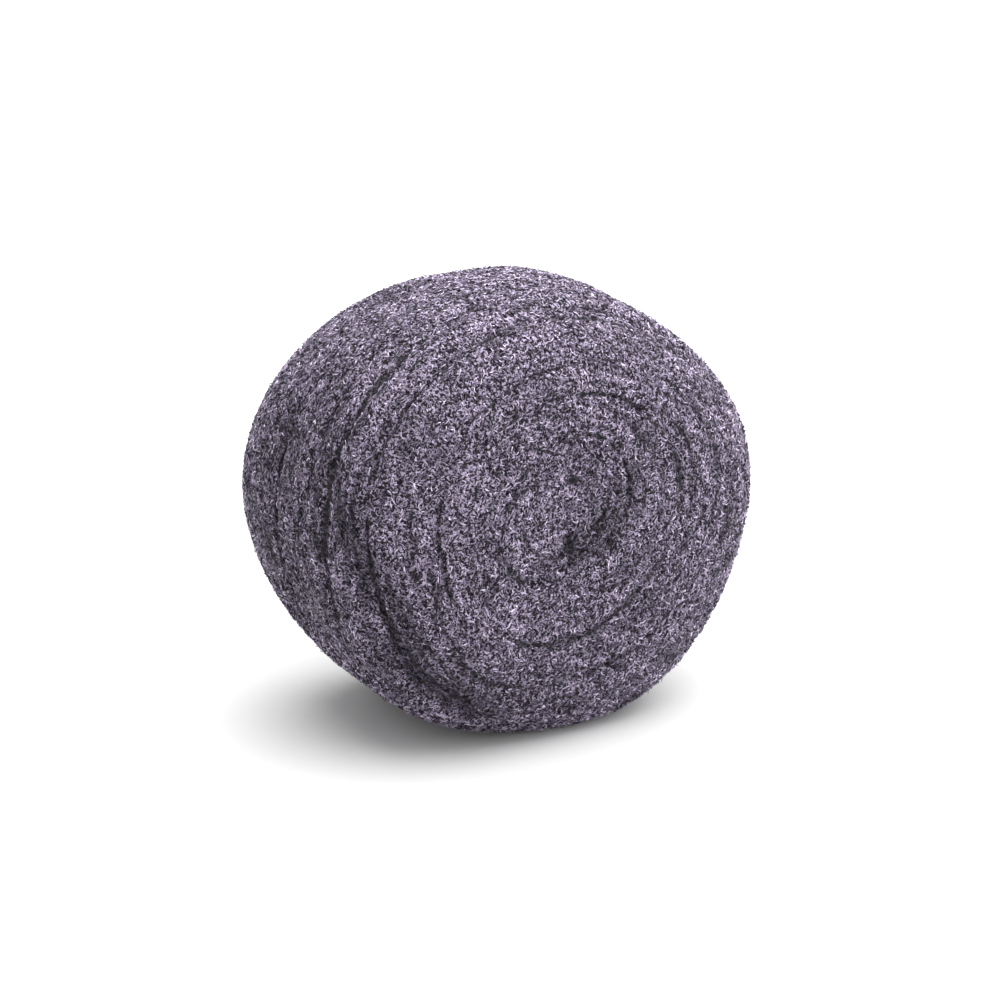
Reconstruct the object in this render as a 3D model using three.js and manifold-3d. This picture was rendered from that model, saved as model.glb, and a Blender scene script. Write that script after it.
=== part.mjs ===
// Steel wool roll: one long ribbon of steel wool, wound on itself and lying on its side.
// The turns cling together, so the roll is one solid. Its axis is Y, and its near end faces -Y.
import * as THREE from "three";
import { mergeVertices } from "three/addons/utils/BufferGeometryUtils.js";
import Module from "manifold-3d";

// Driving dimensions, in millimetres and degrees. Angles go from +X towards +Z.
const ROLL_RADIUS = 74.5;
const NEAR_END = { reach: 53.2, shoulder: 21.3 };
const FAR_END = { reach: 55.3, shoulder: 9.5 };
const SHOULDER_ROUNDNESS = 3.0;
const DOME_ROUNDNESS = 2.7;
const TURN_PITCH = 8;
const TURN_GROOVE_DEPTH = 1.3;
const TURN_CROWN = 0.35;
const SPIRAL_RADIUS = 68;
const DISH_DEPTH = 2.2;
const DISH_RADIUS = 30;
const FLAT_DEPTH = 1.9;

// How far the soft roll is out of round, as fractions of its radius: each bulge repeats
// folds times in a full turn, and one of its crests is at an angle.
const SAG = 0.968;
const FAR_SWELL = 0.005;
const NEAR_BULGES = [
  { folds: 2, size: 0.033, crest: -30 },
  { folds: 3, size: 0.011, crest: 1 },
  { folds: 4, size: 0.008, crest: 39 },
  { folds: 5, size: 0.014, crest: 10 },
];
const FAR_BULGES = [
  { folds: 2, size: 0.041, crest: 2 },
  { folds: 3, size: 0.027, crest: 29 },
  { folds: 4, size: 0.006, crest: -43 },
  { folds: 5, size: 0.01, crest: 29 },
];
const FAR_SHIFT = { x: 2, z: -0.5 };
const LOBE_BLEND = 14.2;
// The first turns were folded over, so they are off the axis and longer one way than the other.
const CORE = { x: -7, z: 9.5, oval: 0.13, crest: 45 };

// Creases round the side, each along a path of places on the axis. It fades out at both ends.
const MAIN_CREASE = {
  path: [
    { angle: 108, y: -26.5 },
    { angle: 142, y: -27.8 },
    { angle: 160, y: -25.5 },
    { angle: 200, y: -21.5 },
  ],
  depth: 3.2,
  width: 2.4,
  fade: 12,
};
const TOP_CREASE = {
  path: [
    { angle: 66, y: -21 },
    { angle: 90, y: -20 },
  ],
  depth: 2,
  width: 2.4,
  fade: 8,
};
const SECOND_CREASE = {
  path: [
    { angle: 108, y: -15.5 },
    { angle: 152, y: -16.5 },
    { angle: 174, y: -11 },
  ],
  depth: 1.8,
  width: 2.2,
  fade: 14,
};
const THIRD_CREASE = {
  path: [
    { angle: 130, y: -9 },
    { angle: 146, y: -8 },
    { angle: 170, y: -2.5 },
  ],
  depth: 1.2,
  width: 2.2,
  fade: 12,
};
const FOURTH_CREASE = {
  path: [
    { angle: 136, y: 1.5 },
    { angle: 166, y: 3 },
    { angle: 198, y: 5 },
  ],
  depth: 1.1,
  width: 2,
  fade: 14,
};
const FAR_CREASE = {
  path: [
    { angle: 118, y: 16 },
    { angle: 170, y: 14.5 },
  ],
  depth: 1.8,
  width: 2.6,
  fade: 14,
};
const VALLEY = {
  path: [
    { angle: 170, y: -30 },
    { angle: 190, y: -37 },
    { angle: 215, y: -40 },
    { angle: 242, y: -40 },
  ],
  depth: 4,
  width: 6,
  fade: 30,
};
const EDGE_OF_LAST_TURN = {
  path: [
    { angle: -60, y: -38.5 },
    { angle: 262, y: -38.5 },
  ],
  depth: 1.8,
  width: 2.4,
  fade: 25,
};
const SIDE_CREASES = [MAIN_CREASE, TOP_CREASE, SECOND_CREASE, THIRD_CREASE, FOURTH_CREASE, FAR_CREASE];
const CREASES = [...SIDE_CREASES, VALLEY, EDGE_OF_LAST_TURN];
// The free end of the ribbon lies over the top as a low step behind the top crease.
const FREE_END = { height: 1.8, from: 66, to: 84, fade: 7, y: -19, blend: 3 };

// Pits where the innermost turns start, on the near end and plainer on the far one.
const NEAR_PITS = [
  { x: -5.9, z: -1.3, radius: 3, depth: 4 },
  { x: 8.9, z: -5.4, radius: 2.8, depth: 3.5 },
  { x: 3.3, z: 2.1, radius: 2.8, depth: 2 },
];
const FAR_PITS = [{ x: 1, z: -2, radius: 4, depth: 4.5 }];

// How closely the wound ribbon was pulled in, from loose turns with shallow grooves to tight ones.
const TIGHTNESS = { mean: 0.65, change: 0.35, folds: 3 };

const SEGMENTS = 60;
const ROWS_PER_TURN = 3;
const NEAR_SHOULDER_ROWS = 8;
const FAR_SHOULDER_ROWS = 5;
const SIDE_ROWS = [-19.5, -18, -16, -14, -12, -9.5, -7.5, -5, -2, 1, 3.5, 6];
const NORMAL_STEP = 0.05;
const MERGE_DISTANCE = 0.001;
const SLAB_WIDTH = 300;
const HALF = 0.5;
const HALF_TURN = 180;
const FULL_TURN = 360;

const radians = (degrees) => THREE.MathUtils.degToRad(degrees);
const rise = (x) => THREE.MathUtils.smoothstep(x, 0, 1);
const bell = (x) => Math.exp(-x * x);

// 1 between two angles and 0 outside them, with soft ends. The angle is turned to lie about
// their middle first, so the stretch may pass through 0 degrees.
function between(angle, { from, to, fade }) {
  const halfway = Math.abs(turnedTo((from + to) / 2, angle) - (from + to) / 2);
  return rise(((to - from) / 2 - halfway) / fade + HALF);
}

// The same direction as an angle, less than half a turn from a middle one.
function turnedTo(middle, angle) {
  return middle + THREE.MathUtils.euclideanModulo(angle - middle + HALF_TURN, FULL_TURN) - HALF_TURN;
}

// Where a path lies along the axis at an angle: straight from point to point, level past its ends.
function placeOnPath(path, angle) {
  const inside = THREE.MathUtils.clamp(angle, path[0].angle, path[path.length - 1].angle);
  const next = Math.max(path.findIndex((point) => point.angle >= inside), 1);
  const [start, end] = path.slice(next - 1, next + 1);
  return THREE.MathUtils.mapLinear(inside, start.angle, end.angle, start.y, end.y);
}

// How far one end's dome stands from the middle plane, at a distance from the axis.
function domeReach(end, radius) {
  const share = Math.min(radius / ROLL_RADIUS, 1) ** SHOULDER_ROUNDNESS;
  return end.shoulder + (end.reach - end.shoulder) * (1 - share) ** (1 / DOME_ROUNDNESS);
}

// The rounded shoulder from the rim of the spiral to the side, as points of radius and y.
function shoulderPoints(end, count, sign) {
  const start = Math.asin((SPIRAL_RADIUS / ROLL_RADIUS) ** (SHOULDER_ROUNDNESS / 2));
  const points = [];
  for (let row = 0; row <= count; row += 1) {
    const angle = THREE.MathUtils.lerp(start, Math.PI / 2, row / count);
    const radius = ROLL_RADIUS * Math.sin(angle) ** (2 / SHOULDER_ROUNDNESS);
    points.push({ radius, y: sign * domeReach(end, radius) });
  }
  return points;
}

// A row of the skin holds a place on the profile for each angle. On the ends the rows follow
// the spiral: they leave the axis one after another and run out into the rim.
function endRows(end, sign) {
  const turns = Math.ceil(SPIRAL_RADIUS / TURN_PITCH);
  const rows = [];
  for (let row = 0; row <= (turns + 1) * ROWS_PER_TURN; row += 1) {
    rows.push((turn) => {
      const wound = (row / ROWS_PER_TURN - 1 + turn) * TURN_PITCH;
      const radius = THREE.MathUtils.clamp(wound, 0, SPIRAL_RADIUS);
      return { radius, y: sign * domeReach(end, radius), sign, phase: row % ROWS_PER_TURN };
    });
  }
  return rows;
}

function sideRows() {
  const near = shoulderPoints(NEAR_END, NEAR_SHOULDER_ROWS, -1);
  const far = shoulderPoints(FAR_END, FAR_SHOULDER_ROWS, 1);
  const middle = SIDE_ROWS.map((y) => ({ radius: ROLL_RADIUS, y }));
  const places = [...far.slice(1), ...middle.reverse(), ...near.reverse().slice(0, -1)];
  return places.map((place) => () => ({ ...place, sign: 0, phase: 0 }));
}

// Unit normal of the profile, as its parts along the radius and along the axis.
function profileNormal({ radius, y }) {
  const end = y < 0 ? NEAR_END : FAR_END;
  if (Math.abs(y) <= end.shoulder) return new THREE.Vector2(1, 0);
  const inner = Math.max(radius - NORMAL_STEP, 0);
  const fall = (domeReach(end, inner) - domeReach(end, inner + NORMAL_STEP)) / NORMAL_STEP;
  return new THREE.Vector2(fall, Math.sign(y)).normalize();
}

function total(values) {
  return values.reduce((sum, value) => sum + value, 0);
}

function pitDepth({ x, z }, pits) {
  return total(pits.map((pit) => pit.depth * bell(Math.hypot(x - pit.x, z - pit.z) / pit.radius)));
}

// The turns show on the ends as rounded bands with a groove between them. The grooves come and
// go round the roll, as the ribbon was wound by hand.
function endRelief({ radius, sign, phase }, angle, centre) {
  const wave = Math.sin(radians(TIGHTNESS.folds * angle) + radius / TURN_PITCH);
  const tight = TIGHTNESS.mean + TIGHTNESS.change * wave;
  const groove = phase === 0 ? -TURN_GROOVE_DEPTH * tight : TURN_CROWN;
  const rim = rise((SPIRAL_RADIUS - radius) / TURN_PITCH) * rise(radius / TURN_PITCH);
  const dish = DISH_DEPTH * bell(radius / DISH_RADIUS);
  return groove * rim - dish - pitDepth(centre, sign < 0 ? NEAR_PITS : FAR_PITS);
}

function creaseDepth({ path, depth, width, fade }, y, angle) {
  const from = path[0].angle;
  const to = path[path.length - 1].angle;
  const place = placeOnPath(path, turnedTo((from + to) / 2, angle));
  return depth * between(angle, { from, to, fade }) * bell((y - place) / width);
}

function sideRelief(y, angle) {
  const creases = total(CREASES.map((crease) => creaseDepth(crease, y, angle)));
  const step = FREE_END.height * between(angle, FREE_END) * rise((y - FREE_END.y) / FREE_END.blend + HALF);
  return step - creases;
}

function outOfRound(bulges, angle) {
  return total(bulges.map(({ folds, size, crest }) => size * Math.cos(radians(folds * (angle - crest)))));
}

// Where a point lies across the axis. The folded core is shifted, and only the ends show it.
function acrossAxis({ radius }, angle) {
  const core = Math.max(1 - (radius / SPIRAL_RADIUS) ** 2, 0);
  const wound = radius * (1 + CORE.oval * core * Math.cos(radians(2 * (angle - CORE.crest))));
  return {
    x: wound * Math.cos(radians(angle)) + CORE.x * core,
    z: wound * Math.sin(radians(angle)) + CORE.z * core,
  };
}

// Places one vertex: the profile with its relief, then the roll's soft, sagged form.
function skinPoint(place, angle) {
  const centre = acrossAxis(place, angle);
  const normal = profileNormal(place);
  const turns = place.sign === 0 ? 0 : endRelief(place, angle, centre);
  const outside = rise((2 * place.radius) / ROLL_RADIUS - 1);
  const relief = turns + outside * sideRelief(place.y, angle);
  const y = place.y + relief * normal.y;
  const lobe = Math.tanh(y / LOBE_BLEND);
  const far = (1 + lobe) / 2;
  const around = THREE.MathUtils.radToDeg(Math.atan2(centre.z, centre.x));
  const nearForm = outOfRound(NEAR_BULGES, around);
  const form = THREE.MathUtils.lerp(nearForm, outOfRound(FAR_BULGES, around), far);
  const swell = 1 + form + FAR_SWELL * lobe;
  const lift = relief * normal.x;
  const x = (centre.x + lift * Math.cos(radians(angle))) * swell + FAR_SHIFT.x * far;
  const z = (centre.z + lift * Math.sin(radians(angle))) * swell * SAG + FAR_SHIFT.z * far;
  return new THREE.Vector3(x, y, z);
}

// The closed skin: a lathe with one row of vertices for each row of the profile.
function rollSkin() {
  const rows = [...endRows(FAR_END, 1), ...sideRows(), ...endRows(NEAR_END, -1).reverse()];
  const profile = rows.map((row) => {
    const { radius, y } = row(0);
    return new THREE.Vector2(radius, y);
  });
  const skin = new THREE.LatheGeometry(profile, SEGMENTS);
  const positions = skin.getAttribute("position");
  for (let segment = 0; segment <= SEGMENTS; segment += 1) {
    const turn = segment / SEGMENTS;
    rows.forEach((row, index) => {
      const point = skinPoint(row(turn), FULL_TURN * (turn % 1));
      positions.setXYZ(segment * rows.length + index, point.x, point.y, point.z);
    });
  }
  skin.deleteAttribute("normal");
  skin.deleteAttribute("uv");
  return mergeVertices(skin, MERGE_DISTANCE);
}

const wasm = await Module();
wasm.setup();

function toSolid(geometry) {
  const merged = mergeVertices(geometry, MERGE_DISTANCE);
  return new wasm.Manifold(
    new wasm.Mesh({
      numProp: 3,
      vertProperties: merged.getAttribute("position").array,
      triVerts: new Uint32Array(merged.index.array),
    }),
  );
}

function toGeometry(solid) {
  const mesh = solid.getMesh();
  const geometry = new THREE.BufferGeometry();
  geometry.setAttribute("position", new THREE.BufferAttribute(mesh.vertProperties, 3));
  geometry.setIndex(new THREE.BufferAttribute(mesh.triVerts, 1));
  return geometry;
}

// The roll's weight presses a small flat spot where it rests.
function pressedFlat(skin) {
  skin.computeBoundingBox();
  const { min, max } = skin.boundingBox;
  const slab = new THREE.BoxGeometry(SLAB_WIDTH, SLAB_WIDTH, 2 * ROLL_RADIUS);
  slab.deleteAttribute("normal");
  slab.deleteAttribute("uv");
  slab.translate(0, 0, min.z + FLAT_DEPTH - ROLL_RADIUS);
  const rested = toGeometry(toSolid(skin).subtract(toSolid(slab)));
  rested.translate(-(min.x + max.x) / 2, -(min.y + max.y) / 2, -min.z - FLAT_DEPTH);
  return rested;
}

const geometry = pressedFlat(rollSkin());
geometry.computeVertexNormals();

const steelWool = new THREE.MeshStandardMaterial({ color: 0x665e6e, roughness: 0.55, metalness: 0.85 });
const wound = new THREE.Mesh(geometry, steelWool);
wound.name = "steel_wool_roll";

const roll = new THREE.Group();
roll.add(wound);

export default roll;
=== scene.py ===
"""Steel wool roll: a ribbon of matted steel fibres, wound on itself and lying on its side."""

import math

import bmesh
import bpy
import numpy as np
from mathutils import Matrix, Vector, noise
from mathutils.bvhtree import BVHTree


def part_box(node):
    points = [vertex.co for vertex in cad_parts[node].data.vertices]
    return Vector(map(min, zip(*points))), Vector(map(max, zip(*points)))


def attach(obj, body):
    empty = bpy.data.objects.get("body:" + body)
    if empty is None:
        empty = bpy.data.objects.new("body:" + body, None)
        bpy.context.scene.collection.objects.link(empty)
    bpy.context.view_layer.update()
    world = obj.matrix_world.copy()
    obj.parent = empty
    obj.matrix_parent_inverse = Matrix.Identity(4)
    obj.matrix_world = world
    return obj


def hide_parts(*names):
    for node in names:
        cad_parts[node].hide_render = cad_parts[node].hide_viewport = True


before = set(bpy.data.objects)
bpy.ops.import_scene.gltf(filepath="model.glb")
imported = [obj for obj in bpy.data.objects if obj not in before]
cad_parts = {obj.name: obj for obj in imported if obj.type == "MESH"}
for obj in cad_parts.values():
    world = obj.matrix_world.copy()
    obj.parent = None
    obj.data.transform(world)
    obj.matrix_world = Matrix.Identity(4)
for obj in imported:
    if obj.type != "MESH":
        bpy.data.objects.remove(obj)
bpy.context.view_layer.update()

MM = 0.001
ROLL = "steel_wool_roll"
low, high = (Vector(corner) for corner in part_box(ROLL))
MIDDLE = (low + high) / 2
RANDOM_SEED = 41
rng = np.random.default_rng(RANDOM_SEED)

# The wound form, in millimetres and degrees. Angles go from +X towards +Z about the axis.
AXIS = np.array([-1.5, -1.9, 68.9])
RIM_RADIUS = 68
SAG = 0.968  # height of the roll for its width, before it bulges
CORE_SHIFT = (-7, 9.5)  # to the side and up
CORE_OVAL, CORE_CREST = 0.13, 45
UNWINDING_STEPS = 4
# Bulges of the outline: how many round the roll, share of the radius, and where one crests.
BULGES = ((2, 0.033, -30), (3, 0.011, 1), (4, 0.008, 39), (5, 0.014, 10))

# All these lines are cut in as shallow grooves and darkened with painted shade.
# Lines where one turn lies on the next, on the near end: strength, then points of (angle, radius).
TURN_LINES = (
    (1.6, (-96, 13), (-60, 13.3), (-8, 14.6)),
    (1.5, (-186, 20.6), (-165, 22.8), (-140, 23.3), (-118, 23.2)),
    (0.9, (-46, 21.8), (-20, 21.2), (2, 22.6)),
    (1.6, (8, 20.8), (30, 21.9), (50, 22.9), (75, 23.8), (106, 24.2)),
    (1.2, (104, 24.2), (130, 23.2), (150, 21.8), (174, 20.8)),
    (1.0, (-174, 31.8), (-148, 31.2)),
    (0.7, (-52, 34.2), (-30, 33.6), (0, 32.8), (30, 30.8), (60, 29.7), (76, 29.6), (104, 32.6)),
    (1.5, (-128, 38.2), (-105, 39.9), (-85, 41), (-60, 40), (-28, 40.1)),
    (1.6, (-2, 38.6), (25, 37.6), (60, 37.2), (80, 38.3), (100, 39.8), (122, 41.3), (142, 43.8)),
    (1.1, (-22, 44.5), (0, 42.2), (12, 42)),
    (1.1, (20, 43.2), (44, 43)),
    (1.3, (166, 46.6), (180, 45.7), (200, 44), (216, 42.4)),
    (0.8, (-54, 45.6), (-32, 47.2)),
    (1.1, (-168, 48.8), (-140, 50), (-118, 53), (-95, 53.7), (-80, 52.5), (-60, 52), (-38, 52.8)),
    (1.4, (-8, 51.2), (10, 51.9), (30, 51.6), (48, 52.2), (68, 51.4)),
    (0.9, (72, 51), (86, 50.2), (105, 51.2), (120, 50.5), (138, 51.6)),
    (0.9, (148, 53.2), (166, 55.2), (186, 54.6)),
    (0.6, (-104, 62.4), (-72, 63.2)),
)
FAR_END_SHARE = 0.8  # the same turns come out at the far end, a little less clearly
# The same round the side: strength, then points of (angle, place along the axis).
SIDE_LINES = (
    (1.2, (104, -24), (120, -25), (134, -25.6)),
    (5.2, (124, -25.2), (142, -25.8), (152, -24.6), (165, -22.9), (178, -21.3)),
    (1.6, (170, -22.2), (186, -20.5), (206, -19.5)),
    (1.8, (188, -36.6), (205, -36), (230, -36.4)),
    (1.0, (116, -30.3), (136, -30), (150, -30), (168, -28.8)),
    (0.7, (190, -27), (203, -29), (213, -32)),
    (0.9, (70, -35), (90, -35.7), (98, -34.5), (112, -31.6)),
    (1.5, (36, -38.2), (70, -38.8), (110, -37.8), (145, -38.2), (185, -36.8), (216, -36.4)),
    (
        1.6, (105, -14.2), (118, -15.5), (128, -15.8), (145, -15.2), (154, -15.6), (166, -12.8),
        (180, -7.6),
    ),
    (1.3, (130, -8.4), (143, -7.5), (155, -5.2), (170, -1.2)),
    (1.4, (134, 2.3), (150, 2.6), (163, 4), (190, 6.5), (198, 5.8)),
    (1.5, (110, 19), (128, 16.8), (140, 17.4), (147, 18.6)),
    (0.9, (149, 16), (166, 15.2)),
    (1.4, (64, -20), (92, -19)),
)
# Small holes near the core, dented a little and darkened with painted shade: strength, angle, radius
# and size in mm.
PITS = (
    (2.4, -80, 12.5, 2), (1.8, -40, 23.5, 2.2), (1.3, -37, 15.5, 1.8), (1.4, 75, 8.5, 2),
    (0.9, 74, 17, 1.8), (1.1, 0, 1, 1.8),
)
LINE_WIDTH = 0.6  # mm
LINE_FADE = 12  # degrees
LINE_DASH = 2.2  # mm, how long the gaps and dashes are where loose fibres bridge a line
# How far bridging fibres weaken a line: its usual share, their effect, and the limits of both.
BRIDGED_SHARE, BRIDGING, LEAST_SHARE, MOST_SHARE = 0.6, 1.5, 0.12, 1.2
GROOVE_SHARE = 0.4  # mm of depth for a strength of 1
DEEPEST_GROOVE = 0.6  # mm
SHADE_WIDTH = 0.8  # mm
SHADE_SHARE = 0.5  # of darkening for a strength of 1
END_FROM, SIDE_FROM = 30, 50  # mm along the axis and from it
# Broad painted shade on the end and the side, where the roll lies in shadow: strength, width in mm,
# then points.
PAINTED_SHADE_ON_END = ((0.3, 6, (-115, 14), (-40, 19), (20, 18)),)
PAINTED_SHADE_ON_SIDE = (
    (0.42, 5, (162, -29), (190, -37), (215, -40), (245, -40)),
    (0.22, 5, (150, -21), (175, -18), (205, -16)),
    (0.2, 16, (148, 4), (185, 7), (215, 7)),
)

# The wool's surface
BODY_SMOOTHING_LEVELS = 2
TURN_SMOOTHING, TURN_EASING = 4, 0.5  # how often the turns' steps are eased, and how far each time
FLAT_SPOT_HEIGHT = 3  # mm, below which the turns aren't eased
# Length along the winding, width across it and height of each kind of unevenness, mm.
UNEVENNESS = ((14, 1.6, 0.3), (5, 1.2, 0.2), (1.6, 1.6, 0.16))
# Length, width and contrast of the lighter and darker streaks of fibre.
STREAKS = ((16, 1.3, 0.42), (6, 1.2, 0.34))
# Painted shade: the mat under and between the fibres is darkened everywhere by this share.
PLAIN_SHADE = 0.28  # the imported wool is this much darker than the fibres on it
DARKEST_SHADE = 0.9
NOISE_APART = 40  # keeps the side's pattern unlike the end's
SHOULDER_FROM, SHOULDER_WIDTH = 35, 6  # mm, where the side's pattern gives way to the end's

# The fibres that lie on it. A real one is a ribbed shaving about 0.06 mm thick; each one here
# stands for a twist of several, as thick as it must be to show. Weave is how far one goes up and
# down through the mat, curl is in radians a step, and loose is the share that stands off the mat.
# Lengths in mm.
MATTED = {
    "pieces": 3, "count": 14200, "points": 3, "length": (1.3, 2.4), "thickness": (0.34, 0.54),
    "weave": (0.2, 0.45), "curl": 0.8, "loose": 0.04,
}
LONG = {
    "pieces": 1, "count": 6100, "points": 6, "length": (3, 5.5), "thickness": (0.24, 0.36),
    "weave": (0.25, 0.45), "curl": 0.55, "loose": 0.09,
}
STRAND_SIDES = 3
SPARE_STARTS = 2  # tried for each strand, as some lie in a line or under the roll
CLOSE_TO_LINE = 1.6  # mm, within which a strand runs along the line beside it
CLEAR_OF_LINE = 0.9  # mm, within which none starts
STRONG_LINE = 0.9  # strength from which a line is kept clear
MOST_FOLLOWING = 0.85  # of its freedom, which a strand loses on a line
STRAY_HEADING = 1.2  # radians
SWAY, SWAY_PACE = (0.4, 1.2), 2.1  # radians
WEAVE_PACE = (1.5, 2.1)  # radians
PROUD = 0.1  # mm, how far a strand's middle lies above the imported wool
LOOSE_RISE = (0.4, 1.2)  # mm
RISE_CURVE = 1.5
LOOSE_THINNESS = 0.7
TAPER_ENDS, TAPER_POWER = (0.14, 0.86), 0.6  # part of a half wave, and how blunt it is
LOWEST_START = 1.2  # mm
FLOOR_GAP = 0.3  # mm
SHADE_LIMITS = (-0.5, 0.9)  # of what lightens or darkens a strand

# Maps for baked colour, as shares of the whole map
MAP_SCALE = 2.85  # for a metre
STRIP_START, LOWER_STRIP, UPPER_STRIP = 0.02, 0.59, 0.86
NEAR_DISC, FAR_DISC, DISC_HEIGHT = 0.25, 0.75, 0.225
END_FACING = 0.6
CELL_EDGE, CELL_INSIDE = 0.2, 0.6  # of one strand's cell


def linear(hex_colour):
    """An sRGB hex colour as linear red, green, blue and alpha."""
    value = np.array([int(hex_colour[i : i + 2], 16) for i in (1, 3, 5)]) / 255
    low_part, high_part = value / 12.92, ((value + 0.055) / 1.055) ** 2.4
    return (*np.where(value <= 0.04045, low_part, high_part).tolist(), 1.0)


def add_object(name, data):
    obj = bpy.data.objects.new(name, data)
    bpy.context.scene.collection.objects.link(obj)
    return obj


def read_vectors(items, attribute):
    """One vector for each vertex or face, as rows."""
    values = np.empty(len(items) * 3, np.float32)
    items.foreach_get(attribute, values)
    return values.reshape(-1, 3).astype(float)


def evaluated_mesh(obj):
    """The mesh that an object's modifiers or sweep give."""
    graph = bpy.context.evaluated_depsgraph_get()
    graph.update()
    return bpy.data.meshes.new_from_object(obj.evaluated_get(graph))


# ---------------------------------------------------------------- camera, floor and light

CAMERA_AZIMUTH = -31.5
CAMERA_ELEVATION = 17.1
CAMERA_DISTANCE = 757 * MM
LENS = 86.4
AIM = Vector((0.57, 0, 65.9)) * MM


def direction(azimuth, elevation):
    """Unit vector from the roll towards a place seen at these angles, in degrees."""
    a, e = math.radians(azimuth), math.radians(elevation)
    return Vector((math.sin(a) * math.cos(e), -math.cos(a) * math.cos(e), math.sin(e)))


def aim(obj, target):
    obj.rotation_euler = (target - obj.location).to_track_quat("-Z", "Y").to_euler()


def make_camera():
    data = bpy.data.cameras.new("camera")
    data.lens = LENS
    camera = add_object("camera", data)
    camera.location = AIM + direction(CAMERA_AZIMUTH, CAMERA_ELEVATION) * CAMERA_DISTANCE
    aim(camera, AIM)
    bpy.context.scene.camera = camera


def make_light(name, azimuth, elevation, softness, strength):
    """A large soft lamp far away: softness is how wide it looks from the roll, in degrees."""
    data = bpy.data.lights.new(name, "SUN")
    data.angle = math.radians(softness)
    data.energy = strength
    light = add_object(name, data)
    light.location = MIDDLE + direction(azimuth, elevation)
    aim(light, MIDDLE)


def make_studio():
    world = bpy.data.worlds.new("soft studio")
    bpy.context.scene.world = world
    world.use_nodes = True
    background = world.node_tree.nodes["Background"]
    background.inputs["Color"].default_value = linear("#ffffff")
    background.inputs["Strength"].default_value = 1.0
    make_light("key", 80, 76, 80, 5.5)
    make_light("fill", 40, 12, 60, 1.9)
    bpy.context.scene.view_settings.view_transform = "Standard"


def make_floor():
    form = bmesh.new()
    bmesh.ops.create_grid(form, x_segments=1, y_segments=1, size=6)
    mesh = bpy.data.meshes.new("floor")
    form.to_mesh(mesh)
    form.free()
    floor = add_object("floor", mesh)
    floor.data.materials.append(painted_board())


# ---------------------------------------------------------------- materials


def add_node(tree, kind, links=(), **settings):
    """Adds a node. Settings are attributes or inputs by name, and links are (input, socket)."""
    node = tree.nodes.new(kind)
    for name, value in settings.items():
        if hasattr(node, name):
            setattr(node, name, value)
        else:
            node.inputs[name.replace("_", " ")].default_value = value
    for name, socket in links:
        tree.links.new(socket, node.inputs[name])
    return node


def new_material(name, **settings):
    material = bpy.data.materials.new(name)
    material.use_nodes = True
    shader = material.node_tree.nodes["Principled BSDF"]
    for key, value in settings.items():
        shader.inputs[key.replace("_", " ")].default_value = value
    return material, material.node_tree, shader


def colour_ramp(tree, socket, stops):
    ramp = add_node(tree, "ShaderNodeValToRGB", [("Fac", socket)])
    elements = ramp.color_ramp.elements
    while len(elements) < len(stops):
        elements.new(0.5)
    for element, (place, colour) in zip(elements, stops):
        element.position = place
        element.color = linear(colour)
    return ramp.outputs["Color"]


def painted_board():
    """Matt painted board: it lights the roll a little from below and stays out of the way."""
    colour = {"Base Color": linear("#c6c6c6")}
    material, _, _ = new_material("matt painted board", Roughness=0.9, **colour)
    return material


# Places of the Mix node's colour sockets, which share their names with its other ones
MIX_FIRST_COLOUR, MIX_SECOND_COLOUR, MIX_COLOUR_RESULT = 6, 7, 2
TANGLE_SCALE = 1400  # to a metre: the fibres' own 0.06 mm is too fine to show, so 0.7 mm
TANGLE_HEIGHT = 0.6  # mm


def packed_wool():
    """Steel fibres rolled and matted together: seen between the loose ones as a dark tangle."""
    material, tree, shader = new_material("packed steel wool", Metallic=0.6, Roughness=0.6)
    place = add_node(tree, "ShaderNodeTexCoord").outputs["Object"]
    tangle = add_node(
        tree, "ShaderNodeTexNoise", [("Vector", place)],
        Scale=TANGLE_SCALE, Detail=1, Roughness=0.5, Distortion=0.8,
    )
    colour = colour_ramp(
        tree, tangle.outputs["Fac"], [(0.43, "#060508"), (0.51, "#514959"), (0.58, "#a99db5")]
    )
    # Painted shade: the shade attribute mixes the mat towards near black in lines, pits and shaded
    # parts, and along the darker streaks.
    shade = add_node(tree, "ShaderNodeAttribute", attribute_name="shade")
    links = [("Factor", shade.outputs["Fac"]), (MIX_FIRST_COLOUR, colour)]
    dark = add_node(tree, "ShaderNodeMix", links, data_type="RGBA", blend_type="MIX")
    dark.inputs[MIX_SECOND_COLOUR].default_value = linear("#060507")
    tree.links.new(dark.outputs[MIX_COLOUR_RESULT], shader.inputs["Base Color"])
    height = [("Height", tangle.outputs["Fac"])]
    bump = add_node(tree, "ShaderNodeBump", height, Strength=0.9, Distance=TANGLE_HEIGHT * MM)
    tree.links.new(bump.outputs["Normal"], shader.inputs["Normal"])
    return material


def shaved_fibre():
    """Bright shaved steel fibre: sharp-edged, so each one catches the light along its length."""
    material, tree, shader = new_material("shaved steel fibre", Metallic=0.85, Roughness=0.42)
    # Tone: random for each strand, darkened by painted shade and by the streaks of fibre.
    tone = add_node(tree, "ShaderNodeAttribute", attribute_name="tone")
    colour = colour_ramp(
        tree,
        tone.outputs["Fac"],
        [(0.0, "#08070a"), (0.28, "#342e3a"), (0.62, "#8a7f96"), (1.0, "#ddd0e7")],
    )
    tree.links.new(colour, shader.inputs["Base Color"])
    return material


# ---------------------------------------------------------------- the wound form


def bulged(angle):
    """Share by which the outline stands out at each angle, in radians."""
    around = np.degrees(angle)
    bulges = [size * np.cos(np.radians(folds * (around - crest))) for folds, size, crest in BULGES]
    return 1 + sum(bulges)


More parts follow.
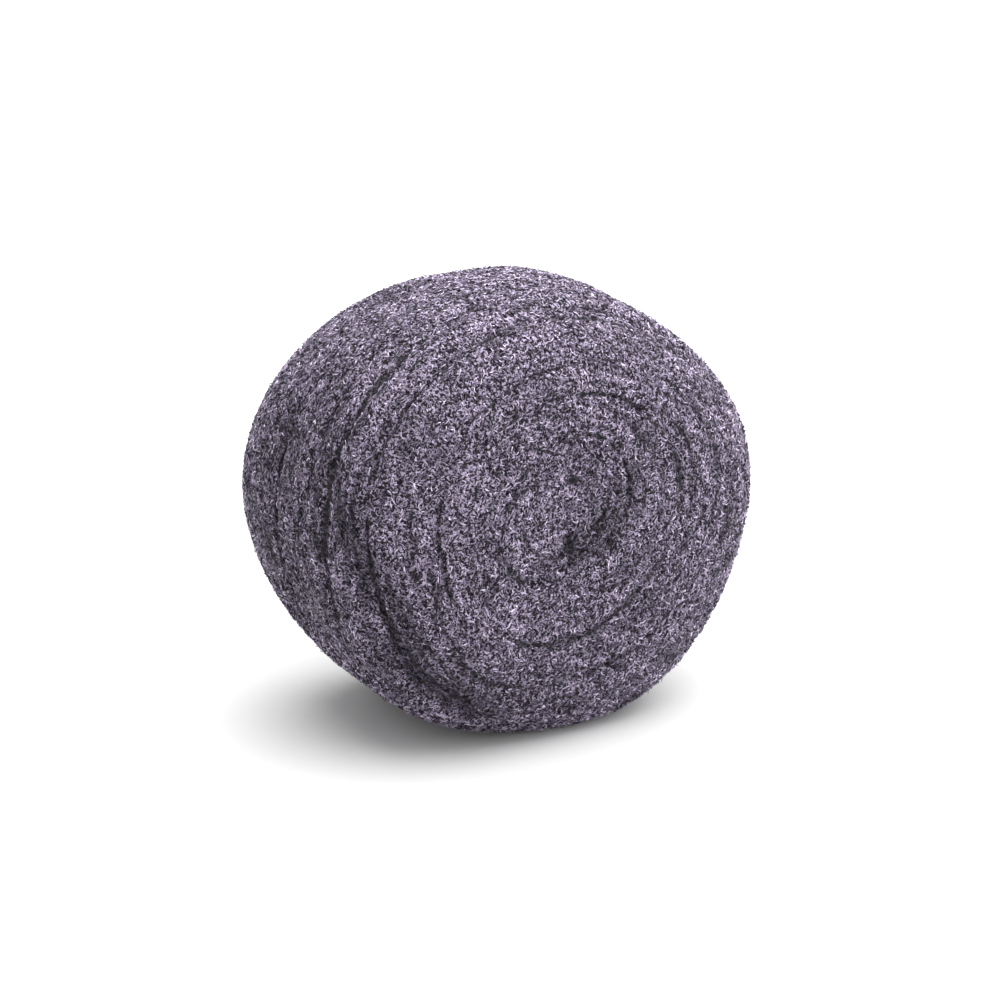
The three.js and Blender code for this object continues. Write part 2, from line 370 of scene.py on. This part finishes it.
def wound_places(points):
    """Angle, radius and place along the axis of each point, in degrees and mm, as if the roll
    were still round and its core not shifted."""
    x, y, z = (points / MM - AXIS).T
    z = z / SAG
    form = bulged(np.arctan2(z, x))
    radius = np.hypot(x, z)
    for _ in range(UNWINDING_STEPS):
        core = np.maximum(1 - (radius / RIM_RADIUS) ** 2, 0)
        across, up = x / form - CORE_SHIFT[0] * core, z / form - CORE_SHIFT[1] * core
        angle = np.arctan2(up, across)
        oval = 1 + CORE_OVAL * core * np.cos(2 * (angle - math.radians(CORE_CREST)))
        radius = np.hypot(across, up) / oval
    return np.degrees(angle), radius, y


def line_strength(angle, place, line, width):
    """Strength of one line at each point: it is narrow, and fades out at its ends."""
    strength, *points = line
    corners = np.array(points, float)
    middle = (corners[0, 0] + corners[-1, 0]) / 2
    turned = middle + np.mod(angle - middle + 180, 360) - 180
    centre = np.interp(turned, corners[:, 0], corners[:, 1])
    outside = np.maximum(corners[0, 0] - turned, turned - corners[-1, 0])
    fade = np.clip(0.5 - outside / LINE_FADE, 0, 1)
    return strength * fade * np.exp(-(((place - centre) / width) ** 2))


def wound_noise(places, length, width):
    """Smooth noise from about -0.5 to 0.5, stretched along the winding."""
    angle, radius, along = places
    around = np.radians(angle)
    end_share = np.clip((np.abs(along) - SHOULDER_FROM) / SHOULDER_WIDTH, 0, 1)
    x, z = np.cos(around), np.sin(around)
    on_end = np.column_stack([x * radius / length, z * radius / length, radius / width])
    on_side = np.column_stack(
        [x * RIM_RADIUS / length, z * RIM_RADIUS / length, along / width + NOISE_APART]
    )
    ends = np.array([noise.noise(place) for place in on_end.tolist()])
    sides = np.array([noise.noise(place) for place in on_side.tolist()])
    return ends * end_share + sides * (1 - end_share)


def pits_at(angle, radius):
    """How strong the small holes near the core are at each place on the near end."""
    place = radius * np.exp(1j * np.radians(angle))
    holes = [(strength, r * np.exp(1j * math.radians(a)), size) for strength, a, r, size in PITS]
    return sum(
        strength * np.exp(-((abs(place - hole) / size) ** 2)) for strength, hole, size in holes
    )


def lines_at(places, width):
    """How strong the lines between the turns are at each place."""
    angle, radius, along = places
    total = np.zeros(len(angle))
    near_end = (along < -END_FROM) & (radius < RIM_RADIUS)
    far_end = (along > END_FROM) & (radius < RIM_RADIUS)
    side = radius > SIDE_FROM
    for line in TURN_LINES:
        strength = line_strength(angle, radius, line, width)
        total = np.maximum(total, strength * (near_end + FAR_END_SHARE * far_end))
    for line in SIDE_LINES:
        total = np.maximum(total, line_strength(angle, along, line, width) * side)
    total = np.maximum(total, pits_at(angle, radius) * near_end)
    bridged = BRIDGED_SHARE + BRIDGING * wound_noise(places, LINE_DASH, LINE_DASH)
    return total * np.clip(bridged, LEAST_SHARE, MOST_SHARE)


def painted_shade_and_streaks(places):
    """How much darker than plain each place is: painted shade on lines, pits and shaded parts, and
    fibre streaks.
    """
    angle, radius, along = places
    shade = lines_at(places, SHADE_WIDTH) * SHADE_SHARE
    # Broad painted shade, where the roll lies in shadow.
    for strength, width, *points in PAINTED_SHADE_ON_END:
        shade += line_strength(angle, radius, (strength, *points), width) * (along < -END_FROM)
    for strength, width, *points in PAINTED_SHADE_ON_SIDE:
        shade += line_strength(angle, along, (strength, *points), width) * (radius > SIDE_FROM)
    for length, width, contrast in STREAKS:
        shade -= contrast * wound_noise(places, length, width)
    return shade


def unevenness(places):
    """Height of the mat's streaks and lumps, in mm: longer along the winding than across it."""
    return sum(size * wound_noise(places, length, width) for length, width, size in UNEVENNESS)


def eased_copy(source):
    """The construction's own solid, merged, with the steps of its turns eased out."""
    form = bmesh.new()
    form.from_mesh(source.data)
    bmesh.ops.remove_doubles(form, verts=form.verts, dist=0.01 * MM)
    any_angle = 3  # radians
    bmesh.ops.join_triangles(
        form, faces=form.faces, angle_face_threshold=any_angle, angle_shape_threshold=any_angle
    )
    form.normal_update()
    ends = [v for v in form.verts if abs(v.normal.y) > 0.5 and v.co.z > FLAT_SPOT_HEIGHT * MM]
    for _ in range(TURN_SMOOTHING):
        bmesh.ops.smooth_vert(
            form, verts=ends, factor=TURN_EASING, use_axis_x=False, use_axis_y=True, use_axis_z=False
        )
    mesh = bpy.data.meshes.new("wound_wool")
    form.to_mesh(mesh)
    form.free()
    return mesh


def wool_body():
    """The wound ribbon: rounded off, with the lines between its turns and its uneven mat."""
    body = add_object("wound_wool", eased_copy(bpy.data.objects[ROLL]))
    rounding = body.modifiers.new("rounding", "SUBSURF")
    rounding.levels = rounding.render_levels = BODY_SMOOTHING_LEVELS
    body.data = mesh = evaluated_mesh(body)
    body.modifiers.clear()
    mesh.materials.clear()
    mesh.materials.append(packed_wool())
    points = read_vectors(mesh.vertices, "co")
    normals = read_vectors(mesh.vertices, "normal")
    places = wound_places(points)
    groove = np.minimum(lines_at(places, LINE_WIDTH) * GROOVE_SHARE, DEEPEST_GROOVE)
    # The shade attribute: painted shade of the mat, its lines, pits and shaded parts, and the
    # streaks of fibre.
    shade = np.clip(PLAIN_SHADE + painted_shade_and_streaks(places), 0, DARKEST_SHADE)
    points += normals * ((unevenness(places) - groove) * MM)[:, None]
    points[:, 2] = np.maximum(points[:, 2], 0)
    mesh.vertices.foreach_set("co", points.ravel())
    mesh.update()
    mesh.polygons.foreach_set("use_smooth", np.ones(len(mesh.polygons), bool))
    shading = mesh.attributes.new("shade", "FLOAT", "POINT")
    shading.data.foreach_set("value", shade.astype(np.float32))
    lay_out_body(mesh)
    return body


def lay_out_body(mesh):
    """A map of the body: both ends as discs and the side as two strips, all at one scale."""
    sizes = np.empty(len(mesh.polygons), np.int32)
    mesh.polygons.foreach_get("loop_total", sizes)
    normals = np.repeat(read_vectors(mesh.polygons, "normal"), sizes, axis=0)
    centres = np.repeat(read_vectors(mesh.polygons, "center"), sizes, axis=0) - MIDDLE
    corner = np.empty(len(mesh.loops), np.int32)
    mesh.loops.foreach_get("vertex_index", corner)
    x, y, z = (read_vectors(mesh.vertices, "co")[corner] - MIDDLE).T
    face_angle = np.arctan2(centres[:, 2], centres[:, 0])
    angle = face_angle + np.mod(np.arctan2(z, x) - face_angle + math.pi, math.tau) - math.pi
    lower = face_angle < 0
    radius = (high.x - low.x) / 2
    strip_u = STRIP_START + (angle + math.pi * lower) * radius * MAP_SCALE
    strip_v = np.where(lower, LOWER_STRIP, UPPER_STRIP) + y * MAP_SCALE
    disc_u = np.where(normals[:, 1] < 0, NEAR_DISC, FAR_DISC) + x * MAP_SCALE
    disc_v = DISC_HEIGHT + z * MAP_SCALE
    is_end = np.abs(normals[:, 1]) > END_FACING
    places = np.column_stack([np.where(is_end, disc_u, strip_u), np.where(is_end, disc_v, strip_v)])
    layer = mesh.uv_layers.new(name="OFBake")
    layer.data.foreach_set("uv", places.ravel().astype(np.float32))


# ---------------------------------------------------------------- the fibres


def triangle_arrays(mesh):
    """The three vertex numbers of each triangle, as rows."""
    mesh.calc_loop_triangles()
    corners = np.empty(len(mesh.loop_triangles) * 3, np.int32)
    mesh.loop_triangles.foreach_get("vertices", corners)
    return corners.reshape(-1, 3)


def unit(vectors):
    return vectors / np.maximum(np.linalg.norm(vectors, axis=1, keepdims=True), 1e-9)


def random_between(limits, count):
    return rng.uniform(limits[0], limits[1], count)


def scatter(mesh, count):
    """Points spread evenly over a mesh, with the normals there."""
    points = read_vectors(mesh.vertices, "co")
    normals = read_vectors(mesh.vertices, "normal")
    corners = triangle_arrays(mesh)
    a, b, c = (points[corners[:, i]] for i in range(3))
    area = np.linalg.norm(np.cross(b - a, c - a), axis=1)
    chosen = rng.choice(len(corners), count, p=area / area.sum())
    share = rng.random((count, 2))
    share = np.where(share.sum(1, keepdims=True) > 1, 1 - share, share)
    weights = np.column_stack([1 - share.sum(1), share])[:, :, None]
    inside = corners[chosen]
    return (points[inside] * weights).sum(1), unit((normals[inside] * weights).sum(1))


def strand_courses(starts, normals, closeness, kind):
    """Curly paths laid flat about their starts. Near a line they run along it."""
    count, points = len(starts), kind["points"]
    radial = starts - np.array([AXIS[0] * MM, 0, AXIS[2] * MM])
    wound = np.column_stack([-radial[:, 2], np.zeros(count), radial[:, 0]])
    wound = unit(wound - normals * np.einsum("ij,ij->i", wound, normals)[:, None])
    across = np.cross(normals, wound)
    step = random_between(kind["length"], count) * MM / (points - 1)
    free = 1 - np.clip(closeness, 0, MOST_FOLLOWING)
    heading = rng.normal(0, STRAY_HEADING, count) * free + rng.integers(0, 2, count) * math.pi
    curl = rng.normal(0, kind["curl"], count) * free
    wave = rng.uniform(0, math.tau, count)
    sway = random_between(SWAY, count) * free
    places = [np.zeros((count, 3))]
    for index in range(points - 1):
        turn = heading + curl * index + sway * np.sin(wave + SWAY_PACE * index)
        move = wound * np.cos(turn)[:, None] + across * np.sin(turn)[:, None]
        places.append(places[-1] + move * step[:, None])
    places = np.stack(places, 1)
    return places + (starts - places.mean(1))[:, None]


def strand_heights(loose, kind):
    """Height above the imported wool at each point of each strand, in mm: most weave up and down
    through it, and the loose ones rise off it towards one end."""
    count, points = len(loose), kind["points"]
    weave = random_between(kind["weave"], count)
    phase = rng.uniform(0, math.tau, count)
    pace = random_between(WEAVE_PACE, count)
    rise = random_between(LOOSE_RISE, count)
    index = np.arange(points)
    woven = weave[:, None] * np.sin(phase[:, None] + pace[:, None] * index) + PROUD
    lifted = rise[:, None] * (index / (points - 1)) ** RISE_CURVE
    return np.where(loose[:, None], lifted, woven)


def laid_on(tree, places, heights):
    """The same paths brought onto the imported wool, at these heights in mm above it."""
    laid = np.empty_like(places)
    for strand, point in np.ndindex(heights.shape):
        spot, normal, _, _ = tree.find_nearest(places[strand, point])
        laid[strand, point] = spot + normal * (heights[strand, point] * MM)
    laid[:, :, 2] = np.maximum(laid[:, :, 2], FLOOR_GAP * MM)
    return laid


def triangle_section():
    """The three-sided section of a shaving, as a closed outline of unit radius."""
    outline = bpy.data.curves.new("section", "CURVE")
    spline = outline.splines.new("POLY")
    spline.points.add(STRAND_SIDES - 1)
    for index, point in enumerate(spline.points):
        angle = math.tau * index / STRAND_SIDES
        point.co = (math.cos(angle), math.sin(angle), 0, 1)
    spline.use_cyclic_u = True
    return add_object("section", outline)


def close_ends(mesh):
    """Closes each strand at both ends, with every face outwards."""
    form = bmesh.new()
    form.from_mesh(mesh)
    rims = [edge for edge in form.edges if edge.is_boundary]
    bmesh.ops.holes_fill(form, edges=rims, sides=STRAND_SIDES)
    bmesh.ops.recalc_face_normals(form, faces=form.faces)
    form.to_mesh(mesh)
    form.free()


def lay_out_strands(mesh, count, points):
    """A map with one small square for each strand, so a baked colour keeps to its strand."""
    side = math.ceil(math.sqrt(count))
    corner_vertex = np.empty(len(mesh.loops), np.int32)
    mesh.loops.foreach_get("vertex_index", corner_vertex)
    strand, place = np.divmod(corner_vertex, points * STRAND_SIDES)
    along, around = np.divmod(place, STRAND_SIDES)
    row, column = np.divmod(strand, side)
    u = (column + CELL_EDGE + CELL_INSIDE * along / (points - 1)) / side
    v = (row + CELL_EDGE + CELL_INSIDE * around / (STRAND_SIDES - 1)) / side
    while mesh.uv_layers:
        mesh.uv_layers.remove(mesh.uv_layers[0])
    layer = mesh.uv_layers.new(name="OFBake")
    layer.data.foreach_set("uv", np.column_stack([u, v]).ravel())


def strand_piece(name, paths, thickness, tones, section, material):
    """One mesh of many strands, swept along their paths and closed at both ends."""
    curve = bpy.data.curves.new(name, "CURVE")
    curve.dimensions = "3D"
    curve.bevel_mode = "OBJECT"
    curve.bevel_object = section
    points = paths.shape[1]
    taper = np.sin(math.pi * np.linspace(*TAPER_ENDS, points)) ** TAPER_POWER
    for path, width in zip(paths, thickness):
        spline = curve.splines.new("POLY")
        spline.points.add(points - 1)
        spline.points.foreach_set("co", np.column_stack([path, np.ones(points)]).ravel())
        spline.points.foreach_set("radius", taper * width / 2 * MM)
    swept = add_object(name, curve)
    mesh = evaluated_mesh(swept)
    bpy.data.objects.remove(swept)
    close_ends(mesh)
    mesh.materials.clear()
    mesh.materials.append(material)
    tone = mesh.attributes.new("tone", "FLOAT", "POINT")
    tone.data.foreach_set("value", np.repeat(tones.ravel(), STRAND_SIDES).astype(np.float32))
    lay_out_strands(mesh, len(paths), points)
    return add_object(name, mesh)


def choose_starts(mesh, count):
    """Where strands start: clear of the strong lines and of the floor."""
    starts, normals = scatter(mesh, count * SPARE_STARTS)
    places = wound_places(starts)
    closeness = lines_at(places, CLOSE_TO_LINE)
    kept = (starts[:, 2] > LOWEST_START * MM) & (lines_at(places, CLEAR_OF_LINE) < STRONG_LINE)
    kept = np.flatnonzero(kept)[:count]
    return starts[kept], normals[kept], closeness[kept]


def make_strands(body):
    """The fibres that show, in a few pieces: short matted ones, then longer and thinner ones."""
    corners = triangle_arrays(body.data)
    tree = BVHTree.FromPolygons(read_vectors(body.data.vertices, "co"), corners.tolist())
    section = triangle_section()
    material = shaved_fibre()
    pieces = []
    for kind in [MATTED] * MATTED["pieces"] + [LONG] * LONG["pieces"]:
        count = kind["count"]
        starts, normals, closeness = choose_starts(body.data, count)
        loose = rng.random(count) < kind["loose"]
        courses = strand_courses(starts, normals, closeness, kind)
        paths = laid_on(tree, courses, strand_heights(loose, kind))
        thickness = random_between(kind["thickness"], count) * np.where(loose, LOOSE_THINNESS, 1)
        # Painted shade from the lines, pits and shaded parts, with the streaks, darkens each
        # strand's random tone.
        shade = painted_shade_and_streaks(wound_places(paths.reshape(-1, 3))).reshape(paths.shape[:2])
        tones = np.clip(rng.random(count)[:, None] * (1 - np.clip(shade, *SHADE_LIMITS)), 0, 1)
        name = f"fibres_{len(pieces) + 1}"
        pieces.append(strand_piece(name, paths, thickness, tones, section, material))
    bpy.data.objects.remove(section)
    return pieces


def build():
    make_camera()
    make_studio()
    make_floor()
    body = wool_body()
    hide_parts(ROLL)
    for piece in [body, *make_strands(body)]:
        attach(piece, "root")


build()
